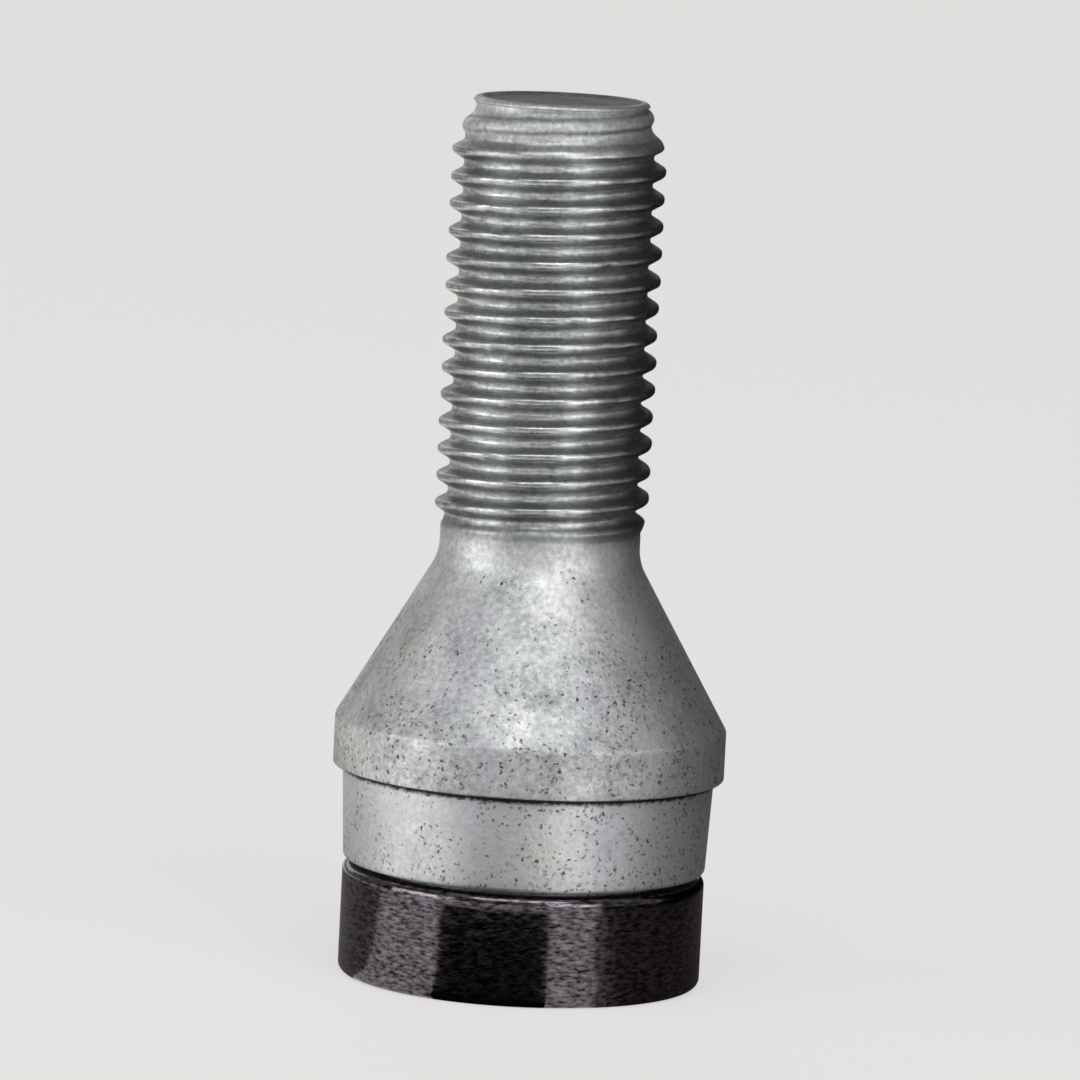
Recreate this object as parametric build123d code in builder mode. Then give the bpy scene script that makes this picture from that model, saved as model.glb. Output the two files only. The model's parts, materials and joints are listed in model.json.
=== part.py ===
from build123d import *
import os
from math import degrees, radians, sqrt, tan

# Locking wheel bolt with a freely turning collar, in millimetres.
# It stands on its head: the origin is the centre of the collar's outer face,
# and +Z runs along the axis to the tip of the thread.

# Thread and shank: a fine metric thread, drawn as a plain cylinder at its major diameter
thread_diameter = 12.0
thread_pitch = 1.5
thread_length = 24.0
runout_length = 0.6
tip_diameter = 9.5
tip_chamfer_length = 3.1
neck_length = 1.3
neck_blend_radius = 2.5

# Cone seat and rim
seat_angle = 60.0
rim_height = 2.7
rim_step = 0.55
rim_blend_radius = 0.5

# Plain band of the head, flush with the collar and flaring a little towards the rim
band_height = 5.2
band_flare = 0.25
band_edge_chamfer = 0.25

# Key groove in the end of the spigot: a closed wavy channel of constant width
key_reach = 6.2
key_groove_width = 1.6
key_groove_depth = 4.0
key_inner_lobe_radius = 0.5
key_valley_offset = 1.6
key_lobe_angles = (0.0, 54.0, 122.0, 175.0, 240.0, 306.0)
key_edge_break = 0.15

# Spigot and collar
key_wall = 0.9
spigot_chamfer = 0.4
collar_clearance = 0.05
collar_wall = 1.75
collar_height = 6.1
collar_gap = 0.25
collar_face_chamfer = 0.4
collar_rear_chamfer = 0.4
collar_lead_in = 0.35
lip_thickness = 1.2
lip_clearance = 0.08
lip_chamfer = 0.4
key_entry_clearance = 0.9

# Retaining ring of square spring wire
ring_width = 1.0
ring_thickness = 1.0
ring_bevel = 0.3
ring_clearance = 0.05
ring_bite = 0.45
ring_inset = 2.0
ring_squeeze_room = 0.1
ring_split = 2.5

# Most of a wall's length that a blend may take up
blend_limit = 0.9

# Radii, worked out from the key pattern outwards
key_lobe_radius = key_inner_lobe_radius + key_groove_width / 2
key_lobe_circle = key_reach - key_groove_width / 2 - key_lobe_radius
key_valley_circle = key_lobe_circle + key_valley_offset
ring_groove_radius = key_reach + key_wall
spigot_radius = ring_groove_radius + ring_thickness + ring_squeeze_room
bore_radius = spigot_radius + collar_clearance
collar_radius = bore_radius + collar_wall
lip_radius = key_reach + key_entry_clearance
ring_outer_radius = bore_radius + ring_bite
ring_inner_radius = ring_outer_radius - ring_thickness
collar_groove_radius = ring_outer_radius + ring_clearance
band_radius = collar_radius
band_top_radius = band_radius + band_flare
rim_radius = band_top_radius + rim_step
thread_radius = thread_diameter / 2
neck_radius = (thread_diameter - 3 * sqrt(3) / 8 * thread_pitch) / 2
tip_radius = tip_diameter / 2

# Levels along the axis, from the collar's outer face to the tip
half_seat_angle = radians(seat_angle / 2)
spigot_end_z = lip_thickness + lip_clearance
ring_z = collar_height - ring_inset
ring_low_z = ring_z - ring_width / 2
ring_high_z = ring_z + ring_width / 2
shoulder_z = collar_height + collar_gap
step_z = shoulder_z + band_height
rim_top_z = step_z + rim_height
neck_z = rim_top_z + (rim_radius - neck_radius) / tan(half_seat_angle)
thread_z = neck_z + neck_length
tip_z = thread_z + thread_length

# Each blend between the cone and a cylinder runs out before its wall ends
blend_share = tan(half_seat_angle / 2)
rim_blend = min(rim_blend_radius, blend_limit * rim_height / blend_share)
neck_blend = min(neck_blend_radius, blend_limit * neck_length / blend_share)


def polar(radius, angle):
    """Point at a radius and an angle in degrees about the bolt's axis."""
    return Vector(radius, 0).rotate(Axis.Z, angle)


def key_loop(shift):
    """Closed loop of tangent arcs, shifted outwards from the centre line of the key groove.

    Each lobe is an arc about a point on the lobe circle. Each valley is an arc about a point
    on the valley circle, halfway between two lobes, and just touches both of them.
    """
    next_angles = key_lobe_angles[1:] + (key_lobe_angles[0] + 360,)
    valley_angles = [(a + b) / 2 for a, b in zip(key_lobe_angles, next_angles)]
    lobes = [polar(key_lobe_circle, a) for a in key_lobe_angles]
    valleys = [polar(key_valley_circle, a) for a in valley_angles]
    lobe_arc = key_lobe_radius + shift
    for i, lobe in enumerate(lobes):
        valley = valleys[i]
        next_lobe = lobes[(i + 1) % len(lobes)]
        valley_arc = (valley - lobe).length - lobe_arc
        lobe_start = lobe + (valleys[i - 1] - lobe).normalized() * lobe_arc
        lobe_tip = polar(key_lobe_circle + lobe_arc, key_lobe_angles[i])
        valley_start = lobe + (valley - lobe).normalized() * lobe_arc
        valley_floor = polar(key_valley_circle - valley_arc, valley_angles[i])
        valley_end = next_lobe + (valley - next_lobe).normalized() * lobe_arc
        ThreePointArc(lobe_start, lobe_tip, valley_start)
        ThreePointArc(valley_start, valley_floor, valley_end)


# Bolt body: spigot, band, rim, cone seat, neck and shank in one forging.
# Each corner of its half section has a radius, or 0 where it is sharp.
bolt_corners = [
    ((0, spigot_end_z), 0),
    ((spigot_radius - spigot_chamfer, spigot_end_z), 0),
    ((spigot_radius, spigot_end_z + spigot_chamfer), 0),
    ((spigot_radius, ring_low_z - ring_clearance), 0),
    ((ring_groove_radius, ring_low_z - ring_clearance), 0),
    ((ring_groove_radius, ring_high_z + ring_clearance), 0),
    ((spigot_radius, ring_high_z + ring_clearance), 0),
    ((spigot_radius, shoulder_z), 0),
    ((band_radius - band_edge_chamfer, shoulder_z), 0),
    ((band_radius, shoulder_z + band_edge_chamfer), 0),
    ((band_top_radius, step_z), 0),
    ((rim_radius, step_z), 0),
    ((rim_radius, rim_top_z), rim_blend),
    ((neck_radius, neck_z), neck_blend),
    ((neck_radius, thread_z), 0),
    ((thread_radius, thread_z + runout_length), 0),
    ((thread_radius, tip_z - tip_chamfer_length), 0),
    ((tip_radius, tip_z), 0),
    ((0, tip_z), 0),
]

with BuildPart() as bolt_body:
    with BuildSketch(Plane.XZ):
        with BuildLine():
            points, radii = zip(*bolt_corners)
            FilletPolyline(*points, radius=radii, close=True)
        make_face()
    revolve(axis=Axis.Z)
    # The key groove, cut into the end of the spigot
    with BuildSketch(Plane.XY.offset(spigot_end_z)):
        with BuildLine():
            key_loop(key_groove_width / 2)
        make_face()
        with BuildLine():
            key_loop(-key_groove_width / 2)
        make_face(mode=Mode.SUBTRACT)
    extrude(amount=key_groove_depth, mode=Mode.SUBTRACT)
    # Both edges of its mouth are broken, but not the rim of the spigot's end face
    end_face_edges = bolt_body.edges().group_by(Axis.Z)[0]
    chamfer(end_face_edges.sort_by(SortBy.RADIUS)[:-1], length=key_edge_break)
bolt_body.part.label = "bolt_body"

# Collar: a sleeve with an inward lip that covers the edge of the spigot's end,
# and a groove in its bore that the retaining ring springs into
with BuildPart() as spin_collar:
    with BuildSketch(Plane.XZ):
        with BuildLine():
            Polyline(
                (lip_radius + lip_chamfer, 0),
                (collar_radius - collar_face_chamfer, 0),
                (collar_radius, collar_face_chamfer),
                (collar_radius, collar_height - collar_rear_chamfer),
                (collar_radius - collar_rear_chamfer, collar_height),
                (bore_radius + collar_lead_in, collar_height),
                (bore_radius, collar_height - collar_lead_in),
                (bore_radius, ring_high_z + ring_clearance),
                (collar_groove_radius, ring_high_z + ring_clearance),
                (collar_groove_radius, ring_low_z - ring_clearance),
                (bore_radius, ring_low_z - ring_clearance),
                (bore_radius, lip_thickness),
                (lip_radius, lip_thickness),
                (lip_radius, lip_chamfer),
                close=True,
            )
        make_face()
    revolve(axis=Axis.Z)
spin_collar.part.label = "spin_collar"

# Retaining ring: square wire, split so that it can be squeezed into the spigot's groove,
# with a bevel for the collar's edge to ride up on when it is pushed on
with BuildPart() as retaining_ring:
    with BuildSketch(Plane.XZ):
        with BuildLine():
            Polyline(
                (ring_inner_radius, ring_low_z),
                (ring_outer_radius - ring_bevel, ring_low_z),
                (ring_outer_radius, ring_low_z + ring_bevel),
                (ring_outer_radius, ring_high_z),
                (ring_inner_radius, ring_high_z),
                close=True,
            )
        make_face()
    revolve(axis=Axis.Z, revolution_arc=360 - degrees(ring_split / ring_outer_radius))
retaining_ring.part.label = "retaining_ring"

os.makedirs("parts", exist_ok=True)
export_step(bolt_body.part, "parts/bolt_body.step")
export_step(spin_collar.part, "parts/spin_collar.step")
export_step(retaining_ring.part, "parts/retaining_ring.step")
print(f"overall length {tip_z:.2f}, collar {2 * collar_radius:.2f} and rim {2 * rim_radius:.2f} across")
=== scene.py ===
# %% [markdown]
# # A locking wheel bolt, dressed for its picture
# The bolt is three pieces. A forged steel body carries the thread, the cone seat and the head. A black
# collar turns freely round the end of the head, so that a gripping tool finds no hold there, and a split
# ring of spring wire keeps the collar on. Their solids come in at real size, with the bolt standing on
# its head and its axis along Z. They are never moved: what we model is drawn right where its solid stands.

# %% Load the solids
import json
from math import cos, pi, radians, sin, sqrt, tan

import bmesh
import bpy
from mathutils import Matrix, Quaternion, Vector, noise

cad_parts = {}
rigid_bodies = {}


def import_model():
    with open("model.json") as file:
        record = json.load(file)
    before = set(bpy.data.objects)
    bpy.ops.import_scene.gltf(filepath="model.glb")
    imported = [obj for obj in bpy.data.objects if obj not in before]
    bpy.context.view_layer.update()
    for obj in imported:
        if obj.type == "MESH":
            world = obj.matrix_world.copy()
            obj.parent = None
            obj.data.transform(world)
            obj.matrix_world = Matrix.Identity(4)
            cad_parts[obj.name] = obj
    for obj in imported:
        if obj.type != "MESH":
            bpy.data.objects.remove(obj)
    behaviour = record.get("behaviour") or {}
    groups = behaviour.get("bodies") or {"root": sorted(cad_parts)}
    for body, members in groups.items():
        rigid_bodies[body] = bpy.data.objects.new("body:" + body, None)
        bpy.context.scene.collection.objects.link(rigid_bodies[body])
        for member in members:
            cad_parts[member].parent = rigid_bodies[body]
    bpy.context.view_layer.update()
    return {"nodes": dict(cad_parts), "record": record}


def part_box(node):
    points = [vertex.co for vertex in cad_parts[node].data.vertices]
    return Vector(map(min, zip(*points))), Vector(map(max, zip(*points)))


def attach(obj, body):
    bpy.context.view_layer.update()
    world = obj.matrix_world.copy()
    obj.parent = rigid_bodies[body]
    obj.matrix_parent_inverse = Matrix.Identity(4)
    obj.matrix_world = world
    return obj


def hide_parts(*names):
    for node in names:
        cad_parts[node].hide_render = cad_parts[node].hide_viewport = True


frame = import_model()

# %% [markdown]
# ## Sizes
# A bolt is drawn in millimetres, so we model in millimetres and shrink each finished mesh to metres.
# The solids give the outer sizes, and the thread's mount gives its radius. The other levels follow from
# the few lengths of the bolt's drawing, counted down from the tip.

# %% Sizes from the solids and the drawing
MM = 0.001
bolt_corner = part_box("bolt_body")[1] / MM
collar_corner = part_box("spin_collar")[1] / MM
mounts = {mount["name"]: mount for mount in frame["record"]["mounts"]}

tip_z = bolt_corner.z
rim_radius = bolt_corner.x
collar_radius = collar_corner.x
collar_z = collar_corner.z
thread_radius = mounts["thread"]["dims"]["r_mm"]

pitch = 1.5
thread_length = 24.0
neck_length = 1.3
seat_angle = 60
rim_height = 2.7
band_height = 5.2
band_flare = 0.25

# A rolled thread starts on a blank of its pitch diameter, and the neck keeps that diameter
sharp_depth = sqrt(3) / 2 * pitch
neck_radius = thread_radius - 3 / 8 * sharp_depth

half_seat_angle = radians(seat_angle / 2)
thread_z = tip_z - thread_length
neck_z = thread_z - neck_length
rim_top_z = neck_z - (rim_radius - neck_radius) / tan(half_seat_angle)
step_z = rim_top_z - rim_height
shoulder_z = step_z - band_height
print(f"shoulder {shoulder_z:.2f}, step {step_z:.2f}, tip {tip_z:.2f}")
print(f"cone from {rim_top_z:.2f} to {neck_z:.2f}")

# %% [markdown]
# ## Turning a section
# Nearly all of this bolt is round, as a lathe or a heading die leaves it. A stack of cylinders and cones
# would leave knife edges that catch no light. So we draw half a section as a chain of edges, round each
# corner with a vertex bevel, and spin the chain once round the axis. Long edges are split before the
# spin, so that the smooth shading of a rounded corner doesn't spread over the flat beside it.

# %% Draw a chain of edges and turn it
MERGE = 0.0005


def draw_chain(bm, corners, closed=False, arc_steps=6, longest_edge=0.5):
    """Join (radius, level, rounding) corners by edges, round them off and split long edges."""
    verts = [bm.verts.new((radius, 0, level)) for radius, level, rounding in corners]
    ends = verts[1:] + verts[:1] if closed else verts[1:]
    for start, end in zip(verts, ends):
        bm.edges.new((start, end))
    for vert, (radius, level, rounding) in zip(verts, corners):
        if rounding:
            bmesh.ops.bevel(
                bm, geom=[vert], offset=rounding, offset_type="OFFSET", segments=arc_steps,
                profile=0.5, affect="VERTICES", material=-1,
            )
    for edge in bm.edges[:]:
        cuts = int(edge.calc_length() / longest_edge)
        if cuts:
            bmesh.ops.subdivide_edges(bm, edges=[edge], cuts=cuts)


def turn(corners, steps, closed=False):
    """Spin a half section once round the bolt's axis."""
    bm = bmesh.new()
    draw_chain(bm, corners, closed)
    bmesh.ops.spin(
        bm, geom=bm.verts[:] + bm.edges[:], cent=(0, 0, 0), axis=(0, 0, 1), dvec=(0, 0, 0),
        angle=2 * pi, steps=steps, use_merge=True,
    )
    bmesh.ops.remove_doubles(bm, verts=bm.verts[:], dist=MERGE)
    return bm


def cut_off(bm, level, side):
    """Cut the mesh flat at a level and drop what lies above it (side 1) or below it (side -1)."""
    bmesh.ops.bisect_plane(
        bm, geom=bm.verts[:] + bm.edges[:] + bm.faces[:], dist=MERGE,
        plane_co=(0, 0, level), plane_no=(0, 0, side), clear_outer=True,
    )


# %% [markdown]
# ## The spigot with its wavy groove
# The end of the head is a spigot inside the collar. A wavy groove in its face drives the bolt. The solid
# has that groove in its true form already, so we copy the solid's mesh, merge its loose triangles and
# keep only the stretch below the shoulder. What lies above it is modelled afresh, with finer edges.

# %% Copy the spigot
seam = 0.06
cut_below_collar = 0.3
cut_z = collar_z - cut_below_collar

bolt = bmesh.new()
bolt.from_mesh(frame["nodes"]["bolt_body"].data)
bmesh.ops.scale(bolt, vec=(1 / MM,) * 3, verts=bolt.verts[:])
bmesh.ops.remove_doubles(bolt, verts=bolt.verts[:], dist=MERGE)
cut_off(bolt, cut_z, 1)
spigot_radius = max(vert.co.x for vert in bolt.verts if abs(vert.co.z - cut_z) < MERGE)
print(f"spigot: {len(bolt.faces)} faces, radius {spigot_radius:.2f}")

# %% [markdown]
# ## The head
# Above the collar come a plain band that flares a little, a rim that stands out by less than a
# millimetre, the 60 degree cone that seats in the wheel, and a short neck. It is one forging, so it is
# one section. The cone runs into the neck with a large blend and meets the rim in a soft crease, while the
# small edges get the tiny radius that a die and a coating leave. Those tiny radii draw the thin lines
# that part the band from the rim.

# %% Turn the head
around = 144
neck_blend_radius = 2.5
rim_blend_radius = 0.5
band_edge = 0.25
rim_edge = 0.14
inner_corner = 0.1

# A blend starts this share of its radius away from its corner, and a bevel is given that distance
blend_share = tan(half_seat_angle / 2)
head = turn(
    [
        (spigot_radius, cut_z + seam, 0),
        (spigot_radius, shoulder_z, inner_corner),
        (collar_radius, shoulder_z, band_edge),
        (collar_radius + band_flare, step_z, inner_corner),
        (rim_radius, step_z, rim_edge),
        (rim_radius, rim_top_z, rim_blend_radius * blend_share),
        (neck_radius, neck_z, neck_blend_radius * blend_share),
        (neck_radius, thread_z - seam, 0),
    ],
    around,
)
print(f"head: {len(head.faces)} faces")

# %% [markdown]
# ## The thread
# The thread is cold rolled: dies press a groove into the blank, and the steel flows out into the crests.
# Bump could fake it, but the crests break the outline of the shank, so it is real geometry here. One
# pitch of the profile is drawn and spun once round while it rises by one pitch. Rising anticlockwise
# makes a right-hand thread. A second spin stacks copies of that turn: each step goes the whole way round
# and one pitch up. Where one turn ends the next begins, so merging the doubles makes one skin. The crests
# are a little worn, so their flats are broader than on a fresh thread.

# %% Roll the thread
steps_per_turn = 144
wear = 0.12
thread_angle = 60
flank_slope = tan(radians(thread_angle / 2))
crest_radius = thread_radius - wear
crest_flat = pitch / 8 + 2 * wear * flank_slope
root_radius = thread_radius - 5 / 8 * sharp_depth
root_flat = pitch / 4
flank = (crest_radius - root_radius) * flank_slope
root_round = 0.12
crest_round = 0.1
spare_turns = 2
turns = int(thread_length / pitch) + spare_turns

thread = bmesh.new()
profile_z = thread_z - pitch
draw_chain(
    thread,
    [
        (root_radius, profile_z, 0),
        (root_radius, profile_z + root_flat / 2, root_round),
        (crest_radius, profile_z + root_flat / 2 + flank, crest_round),
        (crest_radius, profile_z + root_flat / 2 + flank + crest_flat, crest_round),
        (root_radius, profile_z + pitch - root_flat / 2, root_round),
        (root_radius, profile_z + pitch, 0),
    ],
    arc_steps=2,
    longest_edge=0.22,
)
bmesh.ops.spin(
    thread, geom=thread.verts[:] + thread.edges[:], cent=(0, 0, 0), axis=(0, 0, 1),
    dvec=(0, 0, pitch / steps_per_turn), angle=2 * pi, steps=steps_per_turn,
)
bmesh.ops.spin(
    thread, geom=thread.verts[:] + thread.edges[:] + thread.faces[:], cent=(0, 0, 0), axis=(0, 0, 1),
    dvec=(0, 0, pitch), angle=2 * pi * turns, steps=turns, use_duplicate=True,
)
bmesh.ops.remove_doubles(thread, verts=thread.verts[:], dist=MERGE)
print(f"thread: one turn and {turns} copies, {len(thread.faces)} faces before both ends are cut off")

# %% [markdown]
# The blank's end was chamfered before rolling, so the first turns rise only as far as a slim cone lets
# them. The dies still leave a shallow trace of the groove on that cone, right up to the end. At the other
# end the dies run out, and the thread sinks back to the neck. Both are eased here, point by point.

# %% Ease the thread at both ends
tip_radius = 4.75
chamfer_length = 3.1
trace_depth = 0.32
tip_round = 0.2
cap_z = tip_z - 1.5 * tip_round
runout = 1.6


def chamfer_radius(level):
    """Radius of the tip's chamfer at a level."""
    return tip_radius + (tip_z - level) / chamfer_length * (thread_radius - tip_radius)


cut_off(thread, thread_z, -1)
cut_off(thread, cap_z, 1)
for vert in thread.verts:
    radius = vert.co.xy.length
    rise = min((vert.co.z - thread_z) / runout, 1)
    rise = rise * rise * (3 - 2 * rise)
    trace = trace_depth * (crest_radius - radius) / (crest_radius - root_radius)
    eased = min(neck_radius + (radius - neck_radius) * rise, chamfer_radius(vert.co.z) - trace)
    vert.co.xy *= eased / radius
print(f"thread: {len(thread.faces)} faces, root radius {root_radius:.2f}")

# %% [markdown]
# ## Closing the body
# A small turned cap ends the shank. Rolling drags the skin of the steel further than its core, so the end
# is slightly cupped, with a lip round it. The four meshes now meet rim to rim with a hair's gap.
# Their rims have different numbers of points, which would leave open edges if we merged them, so each pair
# of rims is bridged instead. The print shows how many edges are left open.

# %% Join the spigot, head, thread and cap
lip_width = 0.45
cup_depth = 0.15

cap = turn(
    [
        (chamfer_radius(cap_z + seam), cap_z + seam, 0),
        (tip_radius, tip_z, tip_round),
        (tip_radius - lip_width, tip_z, cup_depth),
        (tip_radius - 2 * lip_width, tip_z - cup_depth, cup_depth),
        (0, tip_z - cup_depth, 0),
    ],
    around,
)


def pour(part, whole):
    """Add one bmesh to another."""
    carrier = bpy.data.meshes.new("carrier")
    part.to_mesh(carrier)
    part.free()
    whole.from_mesh(carrier)
    bpy.data.meshes.remove(carrier)


for part in (head, thread, cap):
    pour(part, bolt)
for level in (cut_z, thread_z, cap_z):
    rims = [
        edge for edge in bolt.edges
        if edge.is_boundary and all(abs(vert.co.z - level) < 2 * seam for vert in edge.verts)
    ]
    bmesh.ops.bridge_loops(bolt, edges=rims)
print(f"bolt body: {len(bolt.faces)} faces, {sum(edge.is_boundary for edge in bolt.edges)} open edges")

# %% [markdown]
# ## Wear on the thread
# Bolts are tumbled, coated and packed in bulk, so the crests are never quite even and carry a few nicks
# from their neighbours. A smooth noise wavers the shank's radius by a few hundredths of a millimetre,
# and each nick presses the steel in round a point that lies as far out as the crests.

# %% Waver and nick the thread
waver = 0.06
waver_size = 1.3
nicks = [
    # azimuth in degrees (0 at the front, growing to the right), level, reach, depth
    (-40, 42.6, 0.6, 0.18),
    (31, 39.8, 0.6, 0.2),
    (14, 36.8, 0.5, 0.14),
    (-28, 35.2, 0.7, 0.2),
    (38, 32.1, 0.6, 0.18),
    (-29, 29.4, 0.7, 0.22),
    (118, 38.4, 0.6, 0.18),
    (171, 31.0, 0.7, 0.2),
    (236, 41.3, 0.6, 0.16),
]


def direction(azimuth, elevation):
    """Unit vector towards an azimuth (0 at the front, growing to the right) and an elevation."""
    turned, raised = radians(azimuth), radians(elevation)
    return Vector((sin(turned) * cos(raised), -cos(turned) * cos(raised), sin(raised)))


dents = [
    (direction(azimuth, 0) * crest_radius + Vector((0, 0, level)), reach, depth)
    for azimuth, level, reach, depth in nicks
]
for vert in bolt.verts:
    radius = vert.co.xy.length
    if vert.co.z < thread_z + seam or radius < MERGE:
        continue
    waved = radius + waver * radius / thread_radius * noise.noise(vert.co / waver_size)
    pressed = max(depth * (1 - (vert.co - centre).length / reach) for centre, reach, depth in dents)
    vert.co.xy *= (waved - max(pressed, 0)) / radius
print(f"{len(nicks)} nicks")

# %% [markdown]
# ## Keeping a piece
# A finished mesh is shrunk to metres, its faces are turned outwards and its smooth shading is broken at
# real corners. Then the piece is attached to the body it moves with, and the solid it stands for is hidden.

# %% Keep the bolt body
def keep(bm, name, body, node, corner_angle=radians(34)):
    """Make a bmesh the visible piece that stands for a solid."""
    bmesh.ops.scale(bm, vec=(MM,) * 3, verts=bm.verts[:])
    bmesh.ops.recalc_face_normals(bm, faces=bm.faces[:])
    mesh = bpy.data.meshes.new(name)
    bm.to_mesh(mesh)
    bm.free()
    mesh.shade_smooth()
    mesh.set_sharp_from_angle(angle=corner_angle)
    piece = bpy.data.objects.new(name, mesh)
    bpy.context.scene.collection.objects.link(piece)
    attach(piece, body)
    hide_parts(node)
    return piece


bolt_piece = keep(bolt, "bolt", "bolt", "bolt_body")

# %% [markdown]
# ## The collar
# The collar is a sleeve turned from bar, with a lip that covers the edge of the spigot and a groove in
# its bore for the ring. Its plated surface mirrors what stands round it, so it is turned in finer steps
# than the rest: each flat would show as a kink in the reflections.

# %% Turn the collar
collar_around = 288
lip_radius = 7.1
lip_thickness = 1.2
bore_radius = 8.25
groove_radius = 8.75
groove_inset = 2.0
groove_z = collar_z - groove_inset
groove_half_width = 0.55
outer_edge = 0.45
bore_edge = 0.35
lip_edge = 0.35

collar = turn(
    [
        (lip_radius, 0, lip_edge),
        (collar_radius, 0, outer_edge),
        (collar_radius, collar_z, outer_edge),
        (bore_radius, collar_z, bore_edge),
        (bore_radius, groove_z + groove_half_width, 0),
        (groove_radius, groove_z + groove_half_width, 0),
        (groove_radius, groove_z - groove_half_width, 0),
        (bore_radius, groove_z - groove_half_width, 0),
        (bore_radius, lip_thickness, 0),
        (lip_radius, lip_thickness, 0),
    ],
    collar_around,
    closed=True,
)
print(f"collar: {len(collar.faces)} faces, {sum(edge.is_boundary for edge in collar.edges)} open edges")
collar_piece = keep(collar, "collar", "collar", "spin_collar")

# %% [markdown]
# ## Building finishes from nodes
# Each finish is a Principled shader fed by procedural patterns on Object coordinates, so that it stays
# fixed to the metal from every side. One helper turns an sRGB hex colour into the linear values that
# Blender mixes, one adds a node, sets it and links its sockets, and one starts a material. A pattern's
# scale is one over the size of its features, so sizes are given in millimetres.

# %% Colour, pattern size and nodes
def srgb(code):
    """Linear colour of an sRGB hex code."""
    shares = [int(code[i:i + 2], 16) / 255 for i in (1, 3, 5)]
    linear = [s / 12.92 if s <= 0.04045 else ((s + 0.055) / 1.055) ** 2.4 for s in shares]
    return (*linear, 1)


def per_mm(size):
    """Texture scale that gives features of a size in millimetres."""
    return 1 / (size * MM)


def add_node(tree, kind, inputs, **settings):
    """Add a node, set it, and fill its sockets with values or links."""
    node = tree.nodes.new("ShaderNode" + kind)
    for name, value in settings.items():
        setattr(node, name, value)
    for socket, value in inputs.items():
        if isinstance(value, bpy.types.NodeSocket):
            tree.links.new(value, node.inputs[socket])
        else:
            node.inputs[socket].default_value = value
    return node


def new_material(name):
    """Start a material and return it with its node tree and its shader."""
    material = bpy.data.materials.new(name)
    material.use_nodes = True
    return material, material.node_tree, material.node_tree.nodes["Principled BSDF"]


# %% [markdown]
# ## Zinc flake coating
# The body is dipped in a zinc flake paint and baked. Tiny metal platelets lie flat in the coat, so the
# eye sees a light silver grey with a dull, grainy shine rather than a mirror. A broad mottle and a fine
# grain give that, over a tint that wanders between cool and warm. A real platelet is far too small to show,
# so the grain is drawn as coarse as a third of a millimetre. The band, which was turned smooth, is paler
# and more even.

# %% Start the zinc flake coating
mottle_size = 3.2
grain_size = 0.32
tint_size = 5.0

# Zinc flake coated steel: dull silver grey, grainy, pricked with dark specks
zinc, tree, shader = new_material("zinc_flake_coated_steel")
place = add_node(tree, "TexCoord", {}).outputs["Object"]
spot = add_node(tree, "SeparateXYZ", {"Vector": place})
height = spot.outputs["Z"]
mottle = add_node(
    tree, "TexNoise", {"Vector": place, "Scale": per_mm(mottle_size), "Detail": 4, "Roughness": 0.6}
).outputs["Fac"]
grain = add_node(
    tree, "TexNoise", {"Vector": place, "Scale": per_mm(grain_size), "Detail": 3, "Roughness": 0.7}
).outputs["Fac"]
tone = add_node(tree, "Math", {0: mottle, 1: grain}, operation="ADD").outputs[0]
shade = add_node(
    tree, "MapRange", {"Value": tone, "From Min": 0.75, "From Max": 1.25}
).outputs["Result"]
on_band = add_node(tree, "Math", {0: height, 1: step_z * MM}, operation="LESS_THAN").outputs[0]
deep = add_node(
    tree, "Mix", {0: on_band, 6: srgb("#bcbdbe"), 7: srgb("#dcddde")}, data_type="RGBA"
).outputs[2]
grey = add_node(
    tree, "Mix", {0: shade, 6: deep, 7: srgb("#fcfcfa")}, data_type="RGBA"
).outputs[2]
wander = add_node(
    tree, "TexNoise", {"Vector": place, "Scale": per_mm(tint_size), "Detail": 1}
).outputs["Fac"]
tint = add_node(
    tree, "Mix", {0: wander, 6: srgb("#f2f3ff"), 7: srgb("#fbfff6")}, data_type="RGBA"
).outputs[2]
coat = add_node(
    tree, "Mix", {0: 1.0, 6: grey, 7: tint}, data_type="RGBA", blend_type="MULTIPLY"
).outputs[2]
print(f"coat: mottle of {mottle_size} mm, grain of {grain_size} mm, tint of {tint_size} mm")

# %% [markdown]
# Rolling makes the flanks of the thread smooth, and rubbing makes the crests smoother still. The crests and
# the roots face the camera, so each turn gets two light lines of painted highlight, broken up by scuffs,
# and the flanks between them get painted shade. All this fades out at the neck, and again on the slim nose.

# %% Find the thread, its crests and its roots
fade_below = 0.3
fade_above = 1.0
nose_length = 1.4
# How deep a painted highlight line reaches from its crest or root: until it is gone, and while it is full
line_end = 0.2
line_full = 0.08

above_neck = add_node(
    tree, "MapRange",
    {
        "Value": height,
        "From Min": (thread_z - fade_below) * MM, "From Max": (thread_z + fade_above) * MM,
    },
).outputs["Result"]
below_nose = add_node(
    tree, "MapRange",
    {
        "Value": height,
        "From Min": (tip_z - nose_length) * MM, "From Max": (tip_z - chamfer_length) * MM,
    },
).outputs["Result"]
on_thread = add_node(tree, "Math", {0: above_neck, 1: below_nose}, operation="MULTIPLY").outputs[0]
across = add_node(tree, "CombineXYZ", {"X": spot.outputs["X"], "Y": spot.outputs["Y"]}).outputs["Vector"]
radius = add_node(tree, "VectorMath", {0: across}, operation="LENGTH").outputs["Value"]
on_crest = add_node(
    tree, "MapRange",
    {
        "Value": radius,
        "From Min": (crest_radius - line_end) * MM, "From Max": (crest_radius - line_full) * MM,
    },
).outputs["Result"]
in_root = add_node(
    tree, "MapRange",
    {
        "Value": radius,
        "From Min": (root_radius + line_end) * MM, "From Max": (root_radius + line_full) * MM,
    },
).outputs["Result"]
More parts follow.
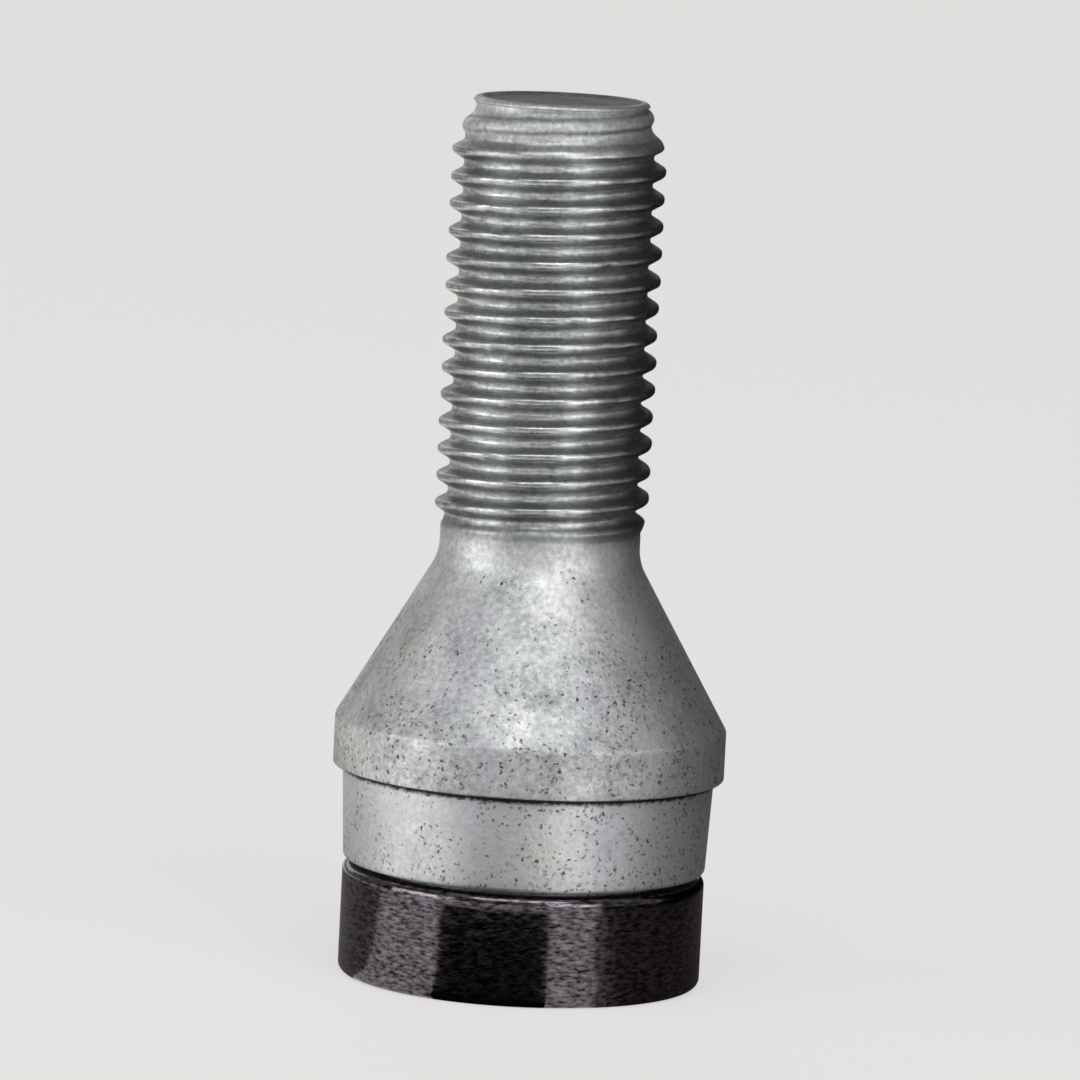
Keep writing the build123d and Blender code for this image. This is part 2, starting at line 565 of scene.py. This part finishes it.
# Painted highlight on the crests and roots, which face the camera; the rest of the thread is painted shade
# on the flanks
highlight_line = add_node(tree, "Math", {0: on_crest, 1: in_root}, operation="MAXIMUM").outputs[0]
flank_shade = add_node(
    tree, "Math", {0: 1.0, 1: highlight_line}, operation="SUBTRACT", use_clamp=True
).outputs[0]
rubbed = add_node(tree, "Math", {0: on_thread, 1: on_crest}, operation="MULTIPLY").outputs[0]
print(f"light lines at radius {crest_radius:.2f} and {root_radius:.2f}")

# %% Paint highlights on the crests and roots and shade on the flanks
scuff_size = 1.1
scuff_squeeze = 5

squeezed = add_node(
    tree, "Mapping", {"Vector": place, "Scale": (1, 1, scuff_squeeze)}
).outputs["Vector"]
scuffs = add_node(
    tree, "TexNoise", {"Vector": squeezed, "Scale": per_mm(scuff_size), "Detail": 3, "Roughness": 0.7}
).outputs["Fac"]
scuffed = add_node(
    tree, "MapRange", {"Value": scuffs, "From Min": 0.35, "From Max": 0.65}
).outputs["Result"]
# Painted highlight tone for crests and roots, broken up by scuffs; #b2b4b3 below is painted shade on the
# flanks
highlight_tone = add_node(
    tree, "Mix", {0: scuffed, 6: srgb("#c2c3c1"), 7: srgb("#ffffff")}, data_type="RGBA"
).outputs[2]
thread_light_and_shade = add_node(
    tree, "Mix", {0: flank_shade, 6: highlight_tone, 7: srgb("#b2b4b3")}, data_type="RGBA"
).outputs[2]
print(f"scuffs {scuff_size} mm long and {scuff_size / scuff_squeeze:.2f} mm high")

# %% [markdown]
# The nose keeps the light coat, with a faint line of painted shade on both flanks of the groove's trace.
# How deep a point lies in that trace follows from its radius and that of the slim cone at its level.

# %% Paint shade on the nose's trace and lay the painted light and shade over the coat
slim = add_node(
    tree, "MapRange",
    {
        "Value": height, "From Min": (tip_z - chamfer_length) * MM, "From Max": tip_z * MM,
        "To Min": thread_radius * MM, "To Max": tip_radius * MM,
    },
).outputs["Result"]
sunk = add_node(tree, "Math", {0: slim, 1: radius}, operation="SUBTRACT").outputs[0]
sunk_share = add_node(tree, "Math", {0: sunk, 1: trace_depth * MM}, operation="DIVIDE").outputs[0]
halfway = add_node(tree, "Math", {0: sunk_share, 1: 0.5}, operation="PINGPONG").outputs[0]
on_trace = add_node(
    tree, "MapRange", {"Value": halfway, "From Min": 0.15, "From Max": 0.45}
).outputs["Result"]
on_nose = add_node(tree, "Math", {0: 1.0, 1: below_nose}, operation="SUBTRACT").outputs[0]
nose_trace_shade = add_node(tree, "Math", {0: on_trace, 1: on_nose}, operation="MULTIPLY").outputs[0]
# Painted shade: #cbcdcc darkens the flanks of the groove's trace on the nose
nose_shade_tone = add_node(
    tree, "Mix", {0: nose_trace_shade, 6: srgb("#ffffff"), 7: srgb("#cbcdcc")}, data_type="RGBA"
).outputs[2]
# The painted highlight and shade of the thread, and the painted shade of the nose, chosen by height
painted_shading = add_node(
    tree, "Mix", {0: on_thread, 6: nose_shade_tone, 7: thread_light_and_shade}, data_type="RGBA"
).outputs[2]
bare = add_node(
    tree, "Mix", {0: 1.0, 6: coat, 7: painted_shading}, data_type="RGBA", blend_type="MULTIPLY"
).outputs[2]
print(f"slim cone from radius {thread_radius:.2f} to {tip_radius:.2f}, trace {trace_depth} deep")

# %% [markdown]
# Handling pricks the coat with dark specks of three sizes. A speck is a ball round the middle of a Voronoi
# cell, which the surface cuts into a dot, and a noise frays its outline. Some are faint and some are dark.
# How far one reaches depends on luck, and on how much dirt its place has: most by the collar, on the rim
# and on the lower cone, hardly any on the thread, and more to the right. A slow noise gathers it in clumps.

# %% Spread the dirt
clump_size = 2.0
dirt_left = 0.95
dirt_right = 1.4
dirt_levels = [
    # level, share of dirt
    (shoulder_z, 1.8),
    (shoulder_z + 1.6, 1.35),
    (step_z, 1.2),
    (step_z + 0.8, 1.55),
    (rim_top_z + 3.0, 1.3),
    (neck_z, 0.55),
    (thread_z, 0.15),
]

clumps = add_node(
    tree, "TexNoise", {"Vector": place, "Scale": per_mm(clump_size), "Detail": 2}
).outputs["Fac"]
patches = add_node(
    tree, "MapRange", {"Value": clumps, "From Min": 0.3, "From Max": 0.7, "To Min": 0.15, "To Max": 0.85}
).outputs["Result"]
along = add_node(tree, "MapRange", {"Value": height, "From Max": tip_z * MM}).outputs["Result"]
dirt_ramp = add_node(tree, "ValToRGB", {"Fac": along})
most_dirt = max(share for level, share in dirt_levels)
stops = dirt_ramp.color_ramp.elements
while len(stops) < len(dirt_levels):
    stops.new(0.5)
for stop, (level, share) in zip(stops, dirt_levels):
    stop.position = level / tip_z
    stop.color = (*[share / most_dirt] * 3, 1)
to_right = add_node(
    tree, "MapRange",
    {
        "Value": spot.outputs["X"], "From Min": -rim_radius * MM, "From Max": rim_radius * MM,
        "To Min": dirt_left * most_dirt, "To Max": dirt_right * most_dirt,
    },
).outputs["Result"]
dirty = add_node(
    tree, "Math", {0: dirt_ramp.outputs["Color"], 1: to_right}, operation="MULTIPLY"
).outputs[0]
dirt = add_node(tree, "Math", {0: dirty, 1: patches}, operation="MULTIPLY").outputs[0]
print("share of dirt at each level:", [(round(level, 1), share) for level, share in dirt_levels])

# %% Prick the coating with specks
fray = 0.4
fray_size = 0.25
speck_edge = 5.0
faintest = 0.3
speck_sizes = [
    # size of a cell, largest reach of its speck as a share of that
    (0.8, 0.19),
    (0.42, 0.31),
    (0.28, 0.4),
]

wobble = add_node(
    tree, "TexNoise", {"Vector": place, "Scale": per_mm(fray_size), "Detail": 1}
).outputs["Color"]
centred = add_node(tree, "VectorMath", {0: wobble, 1: (0.5, 0.5, 0.5)}, operation="SUBTRACT").outputs[0]
pulled = add_node(tree, "VectorMath", {0: centred, "Scale": fray * MM}, operation="SCALE").outputs[0]
frayed = add_node(tree, "VectorMath", {0: place, 1: pulled}, operation="ADD").outputs[0]
pricked = bare
for cell_size, most_reach in speck_sizes:
    cells = add_node(tree, "TexVoronoi", {"Vector": frayed, "Scale": per_mm(cell_size)})
    dice = add_node(tree, "SeparateColor", {"Color": cells.outputs["Color"]}).outputs
    chance = add_node(tree, "Math", {0: dice["Red"], 1: dirt}, operation="MULTIPLY").outputs[0]
    reach = add_node(
        tree, "MapRange", {"Value": chance, "From Min": 0.08, "From Max": 0.55, "To Max": most_reach}
    ).outputs["Result"]
    inside = add_node(
        tree, "Math", {0: reach, 1: cells.outputs["Distance"]}, operation="SUBTRACT"
    ).outputs[0]
    dot = add_node(
        tree, "Math", {0: inside, 1: speck_edge}, operation="MULTIPLY", use_clamp=True
    ).outputs[0]
    strength = add_node(
        tree, "MapRange", {"Value": dice["Green"], "To Min": faintest, "To Max": 1.0}
    ).outputs["Result"]
    speck = add_node(tree, "Math", {0: dot, 1: strength}, operation="MULTIPLY").outputs[0]
    pricked = add_node(
        tree, "Mix", {0: speck, 6: pricked, 7: srgb("#4c4946")}, data_type="RGBA"
    ).outputs[2]
    print(f"specks up to {2 * cell_size * most_reach:.2f} mm across before they are frayed")

# %% [markdown]
# A dark, ragged line of painted shade runs round the band in the inner corner under the rim, where the
# rim's overhang shades it. The end face inside the lip is dull and dark.

# %% Paint shade in the corner under the rim, and darken the end
corner_height = 1.0
thinnest_rim_shade = 0.25
thickest_rim_shade = 0.5
corner_edge = 5.0
corner_margin = 0.05
end_depth = 1.0
end_fade = 0.2

ragged = add_node(
    tree, "MapRange",
    {"Value": grain, "From Min": 0.25, "From Max": 0.75, "To Min": thinnest_rim_shade, "To Max": thickest_rim_shade},
).outputs["Result"]
below_rim = add_node(
    tree, "MapRange",
    {
        "Value": height, "From Min": (step_z - corner_height) * MM, "From Max": step_z * MM,
        "To Min": 1.0, "To Max": 0.0,
    },
).outputs["Result"]
under_rim = add_node(
    tree, "Math", {0: height, 1: (step_z + corner_margin) * MM}, operation="LESS_THAN"
).outputs[0]
above_edge = add_node(tree, "Math", {0: ragged, 1: below_rim}, operation="SUBTRACT").outputs[0]
in_rim_shade = add_node(
    tree, "Math", {0: above_edge, 1: corner_edge}, operation="MULTIPLY", use_clamp=True
).outputs[0]
rim_shade = add_node(tree, "Math", {0: in_rim_shade, 1: under_rim}, operation="MULTIPLY").outputs[0]
# Painted shade: the band turns #3c3a39 in a ragged line under the rim's overhang
shaded_under_rim = add_node(
    tree, "Mix", {0: rim_shade, 6: pricked, 7: srgb("#3c3a39")}, data_type="RGBA"
).outputs[2]
near_end = add_node(
    tree, "Math", {0: height, 1: (tip_z - end_depth) * MM}, operation="GREATER_THAN"
).outputs[0]
inside_lip = add_node(
    tree, "MapRange",
    {
        "Value": radius,
        "From Min": (tip_radius - end_fade) * MM, "From Max": (tip_radius - lip_width) * MM,
    },
).outputs["Result"]
on_end = add_node(tree, "Math", {0: near_end, 1: inside_lip}, operation="MULTIPLY").outputs[0]
# The end face inside the lip is multiplied by #a09e9d, darker than the rest of the coat
darker_end = add_node(
    tree, "Mix", {0: 1.0, 6: coat, 7: srgb("#a09e9d")}, data_type="RGBA", blend_type="MULTIPLY"
).outputs[2]
finished = add_node(tree, "Mix", {0: on_end, 6: shaded_under_rim, 7: darker_end}, data_type="RGBA").outputs[2]
print(f"dark line {thinnest_rim_shade * corner_height} to {thickest_rim_shade * corner_height} mm high under the rim")

# %% [markdown]
# The coat is dull, and duller where its tone is dark. Rolling makes the thread smoother, rubbing makes its
# crests smoother still, and the sheared end is the roughest.

# %% Finish the zinc flake coating
rolling_polish = 0.14
rubbing_polish = 0.08
end_roughness = 0.8
coat_relief = 0.02

dull = add_node(
    tree, "MapRange", {"Value": tone, "From Min": 0.7, "From Max": 1.3, "To Min": 0.62, "To Max": 0.5}
).outputs["Result"]
rolled_smooth = add_node(
    tree, "Math", {0: on_thread, 1: -rolling_polish, 2: dull}, operation="MULTIPLY_ADD"
).outputs[0]
rubbed_smooth = add_node(
    tree, "Math", {0: rubbed, 1: -rubbing_polish, 2: rolled_smooth}, operation="MULTIPLY_ADD"
).outputs[0]
end_dull = add_node(
    tree, "Mix", {"Factor": on_end, "A": rubbed_smooth, "B": end_roughness}
).outputs["Result"]
relief = add_node(
    tree, "Bump", {"Height": tone, "Strength": 1.0, "Distance": coat_relief * MM}
).outputs["Normal"]
shader.inputs["Metallic"].default_value = 1.0
tree.links.new(finished, shader.inputs["Base Color"])
tree.links.new(end_dull, shader.inputs["Roughness"])
tree.links.new(relief, shader.inputs["Normal"])
bolt_piece.data.materials.append(zinc)
print(f"{zinc.name}: {len(tree.nodes)} nodes")

# %% [markdown]
# ## Black chrome
# The collar is plated with black chrome over a turned surface. It is a metal that mirrors only about a
# tenth of the light, so it looks black with crisp dim reflections. Short turning marks run round it: a
# noise, squeezed along the axis. Real ones are too fine to show, so they are drawn half a millimetre long.
# They hardly stand out in relief, and a little dust lies on them.

# %% Make the black chrome
mark_size = 0.5
mark_squeeze = 3
mark_relief = 0.0015
dust_spacing = 0.7
dust_reach = 0.09
dust_edge = 20.0

# Black chrome plate: a dim mirror with short turning marks and a few grains of dust
chrome, tree, shader = new_material("black_chrome_plate")
place = add_node(tree, "TexCoord", {}).outputs["Object"]
squeezed = add_node(
    tree, "Mapping", {"Vector": place, "Scale": (1, 1, mark_squeeze)}
).outputs["Vector"]
marks = add_node(
    tree, "TexNoise", {"Vector": squeezed, "Scale": per_mm(mark_size), "Detail": 2, "Roughness": 0.6}
).outputs["Fac"]
plate = add_node(
    tree, "MapRange", {"Value": marks, "From Min": 0.33, "From Max": 0.67}
).outputs["Result"]
plated = add_node(
    tree, "Mix", {0: plate, 6: srgb("#242124"), 7: srgb("#8c848c")}, data_type="RGBA"
).outputs[2]
cells = add_node(tree, "TexVoronoi", {"Vector": place, "Scale": per_mm(dust_spacing)})
luck = add_node(tree, "SeparateColor", {"Color": cells.outputs["Color"]}).outputs["Red"]
reach = add_node(
    tree, "MapRange", {"Value": luck, "From Min": 0.6, "From Max": 1.0, "To Max": dust_reach}
).outputs["Result"]
inside = add_node(
    tree, "Math", {0: reach, 1: cells.outputs["Distance"]}, operation="SUBTRACT"
).outputs[0]
dust = add_node(
    tree, "Math", {0: inside, 1: dust_edge}, operation="MULTIPLY", use_clamp=True
).outputs[0]
dusted = add_node(
    tree, "Mix", {0: dust, 6: plated, 7: srgb("#a09a9c")}, data_type="RGBA"
).outputs[2]
gloss = add_node(
    tree, "MapRange", {"Value": marks, "From Min": 0.3, "From Max": 0.7, "To Min": 0.08, "To Max": 0.18}
).outputs["Result"]
relief = add_node(
    tree, "Bump", {"Height": marks, "Strength": 1.0, "Distance": mark_relief * MM}
).outputs["Normal"]
shader.inputs["Metallic"].default_value = 1.0
tree.links.new(dusted, shader.inputs["Base Color"])
tree.links.new(gloss, shader.inputs["Roughness"])
tree.links.new(relief, shader.inputs["Normal"])
collar_piece.data.materials.append(chrome)
print(f"{chrome.name}: {len(tree.nodes)} nodes")

# %% [markdown]
# ## Spring steel
# The retaining ring is drawn wire, oiled and hidden between the spigot and the collar. Its solid has the
# right shape, so it stays and only gets a finish: dark bright-drawn steel with faint lines round it.

# %% Make the spring steel
line_size = 0.6
line_squeeze = 6

# Drawn spring steel: dark grey, half bright, with fine lines along the wire
spring, tree, shader = new_material("drawn_spring_steel")
place = add_node(tree, "TexCoord", {}).outputs["Object"]
squeezed = add_node(
    tree, "Mapping", {"Vector": place, "Scale": (1, 1, line_squeeze)}
).outputs["Vector"]
lines = add_node(
    tree, "TexNoise", {"Vector": squeezed, "Scale": per_mm(line_size), "Detail": 2}
).outputs["Fac"]
drawn = add_node(
    tree, "Mix", {0: lines, 6: srgb("#6a6865"), 7: srgb("#9a9895")}, data_type="RGBA"
).outputs[2]
gloss = add_node(
    tree, "MapRange", {"Value": lines, "To Min": 0.28, "To Max": 0.42}
).outputs["Result"]
shader.inputs["Metallic"].default_value = 1.0
tree.links.new(drawn, shader.inputs["Base Color"])
tree.links.new(gloss, shader.inputs["Roughness"])
ring = frame["nodes"]["retaining_ring"]
ring.data.materials.clear()
ring.data.materials.append(spring)
print(f"{spring.name}: {len(tree.nodes)} nodes")

# %% [markdown]
# ## Floor
# The bolt stands on a wide sheet of pale paper. Soft light alone would leave it grey, so a share of it
# glows white for the rays that come from the camera, a mirror or glass. The metal mirrors that glow, but
# no soft light comes from it, and the floor still takes the bolt's shadow.

# %% Lay the floor
floor_size = 4.0
floor_drop = 0.02
floor_glow = 0.65
floor_sides = 64


def matt_paper(name, shade):
    """Start a material like matt paper and return it with its node tree and its shader."""
    material, tree, shader = new_material(name)
    shader.inputs["Base Color"].default_value = srgb(shade)
    shader.inputs["Roughness"].default_value = 0.9
    shader.inputs["Specular IOR Level"].default_value = 0.1
    return material, tree, shader


floor_mesh = bmesh.new()
bmesh.ops.create_circle(floor_mesh, cap_ends=True, radius=floor_size, segments=floor_sides)
bmesh.ops.translate(floor_mesh, vec=(0, 0, -floor_drop * MM), verts=floor_mesh.verts[:])
paper, tree, shader = matt_paper("pale_paper", "#f3f2f0")
ray = add_node(tree, "LightPath", {}).outputs
seen = add_node(
    tree, "Math", {0: ray["Is Camera Ray"], 1: ray["Is Glossy Ray"]}, operation="ADD"
).outputs[0]
shown = add_node(tree, "Math", {0: seen, 1: ray["Is Transmission Ray"]}, operation="ADD").outputs[0]
glow = add_node(tree, "Math", {0: shown, 1: floor_glow}, operation="MULTIPLY").outputs[0]
white = add_node(tree, "Emission", {"Color": srgb("#f6f5f3"), "Strength": 1.0}).outputs[0]
lit = add_node(tree, "MixShader", {0: glow, 1: shader.outputs[0], 2: white}).outputs[0]
tree.links.new(lit, tree.nodes["Material Output"].inputs["Surface"])


def set_stage(bm, name, material):
    """Make a bmesh part of the stage, which isn't part of the object."""
    mesh = bpy.data.meshes.new(name)
    bm.to_mesh(mesh)
    bm.free()
    mesh.materials.append(material)
    prop = bpy.data.objects.new(name, mesh)
    bpy.context.scene.collection.objects.link(prop)
    return prop


set_stage(floor_mesh, "floor", paper)
print(f"floor {2 * floor_size} m across")

# %% [markdown]
# ## Dark cards
# Upright metal, seen from just above, mirrors nothing but the floor before it, and would look evenly
# pale. A photographer lays dark cards round such a piece. Ours lie on the floor as sectors with gaps
# between them, and only mirrored rays see them. So the floor stays pale in the picture, the collar shows
# a black block between two dim light bands, and the coated steel gets soft stripes at the same places. The
# front card is a little paler close to the collar. On the right, strips of growing darkness give the light
# band a soft edge, and a far card is turned up, which keeps that side of the bolt dark. On the left,
# towards the back, the cards are only grey.

# %% Cut the cards
card_start = 0.45 * collar_radius
card_centre = (0, -0.5 * collar_radius * MM, 0)
card_lift = 0.01
card_steps = 16
cards = [
    # first and last azimuth in degrees, near and far edge, height of the far edge, shade
    (-52, 18, card_start, 18, 0, "#211f20"),
    (-52, 18, 18, 50, 0, "#0b0b0c"),
    (48, 54, card_start, 47, 0, "#b0abad"),
    (54, 61, card_start, 47, 0, "#847e81"),
    (61, 100, card_start, 47, 0, "#5c565a"),
    (50, 100, 47, 250, 0, "#2f2c2e"),
    (100, 165, card_start, 47, 0, "#5a5256"),
    (100, 170, 47, 250, 500, "#0b0b0c"),
    (195, 262, card_start, 60, 0, "#979295"),
    (205, 250, 150, 450, 0, "#8a8886"),
]

for number, (first, last, near, far, tall, shade) in enumerate(cards):
    dark_card, tree, shader = matt_paper(f"dark_card_{number}", shade)
    card_mesh = bmesh.new()
    bend = [(near, -card_lift), (far, -card_lift)]
    if tall:
        bend.append((far, tall))
    spots = [card_mesh.verts.new((0, card_centre[1] - away * MM, level * MM)) for away, level in bend]
    for start, end in zip(spots, spots[1:]):
        card_mesh.edges.new((start, end))
    bmesh.ops.rotate(
        card_mesh, cent=card_centre, verts=spots, matrix=Quaternion((0, 0, 1), radians(first)).to_matrix(),
    )
    bmesh.ops.spin(
        card_mesh, geom=spots + card_mesh.edges[:], cent=card_centre, axis=(0, 0, 1), dvec=(0, 0, 0),
        angle=radians(last - first), steps=card_steps,
    )
    card = set_stage(card_mesh, f"dark_card_{number}", dark_card)
    card.visible_camera = False
    card.visible_diffuse = False
    card.visible_shadow = False
    card.visible_transmission = False
print(f"{len(cards)} cards")

# %% [markdown]
# ## Light
# The light is soft and plain: a broad lamp on the left, a narrower one in front on the right, one high in
# front that the cone mirrors, a weak one behind, and a pale world that fills the shadows. The gap between
# the left lamp and the right one shows as a darker stripe down each upright surface, and the far right
# gets the least, which models the round forms. A flat lamp as bright as a white sheet gives off pi watts
# for each square metre, so the powers are worked out from the sizes and a brightness.

# %% Hang the lamps
room_brightness = 0.27
lamp_aim = Vector((0, 0, tip_z / 2 * MM))
lamps = [
    # name, azimuth, elevation, metres away, width, height, brightness
    ("left_softbox", -70, 13, 1.5, 1.20, 0.75, 2.1),
    ("right_softbox", 34, 14, 1.5, 0.80, 0.80, 2.35),
    ("high_softbox", -2, 54, 1.5, 1.30, 0.75, 2.2),
    ("back_softbox", 190, 22, 1.5, 1.40, 0.80, 0.6),
]
for name, azimuth, elevation, away, width, tall, brightness in lamps:
    light = bpy.data.lights.new(name, "AREA")
    light.shape = "RECTANGLE"
    light.size = width
    light.size_y = tall
    light.energy = pi * width * tall * brightness
    lamp = bpy.data.objects.new(name, light)
    towards = direction(azimuth, elevation)
    lamp.location = lamp_aim + towards * away
    lamp.rotation_mode = "QUATERNION"
    lamp.rotation_quaternion = towards.to_track_quat("Z", "Y")
    bpy.context.scene.collection.objects.link(lamp)
    print(f"{name}: {light.energy:.2f} W at {away} m")

world = bpy.data.worlds.new("pale_room")
world.use_nodes = True
background = world.node_tree.nodes["Background"]
background.inputs["Color"].default_value = srgb("#e6e5e3")
background.inputs["Strength"].default_value = room_brightness
bpy.context.scene.world = world
bpy.context.scene.view_settings.view_transform = "Standard"

# %% [markdown]
# ## Camera
# The picture looks at the bolt from a little above, through a long lens that keeps its sides nearly
# parallel, and the bolt leans a few degrees to the right in the frame. The distance follows from how
# much of the frame the bolt should fill.

# %% Set up the camera
view_elevation = 7.5
view_roll = radians(2.9)
bolt_share = 0.82
focal_length = 300

lens = bpy.data.cameras.new("long_lens")
lens.lens = focal_length
lens.clip_end = 20
frame_height = tip_z * MM / bolt_share
away = focal_length / lens.sensor_width * frame_height
back = direction(0, view_elevation)
camera = bpy.data.objects.new("camera", lens)
camera.location = lamp_aim + back * away
camera.rotation_mode = "QUATERNION"
camera.rotation_quaternion = (-back).to_track_quat("-Z", "Y") @ Quaternion((0, 0, 1), view_roll)
bpy.context.scene.collection.objects.link(camera)
bpy.context.scene.camera = camera
print(f"camera {away:.3f} m away")
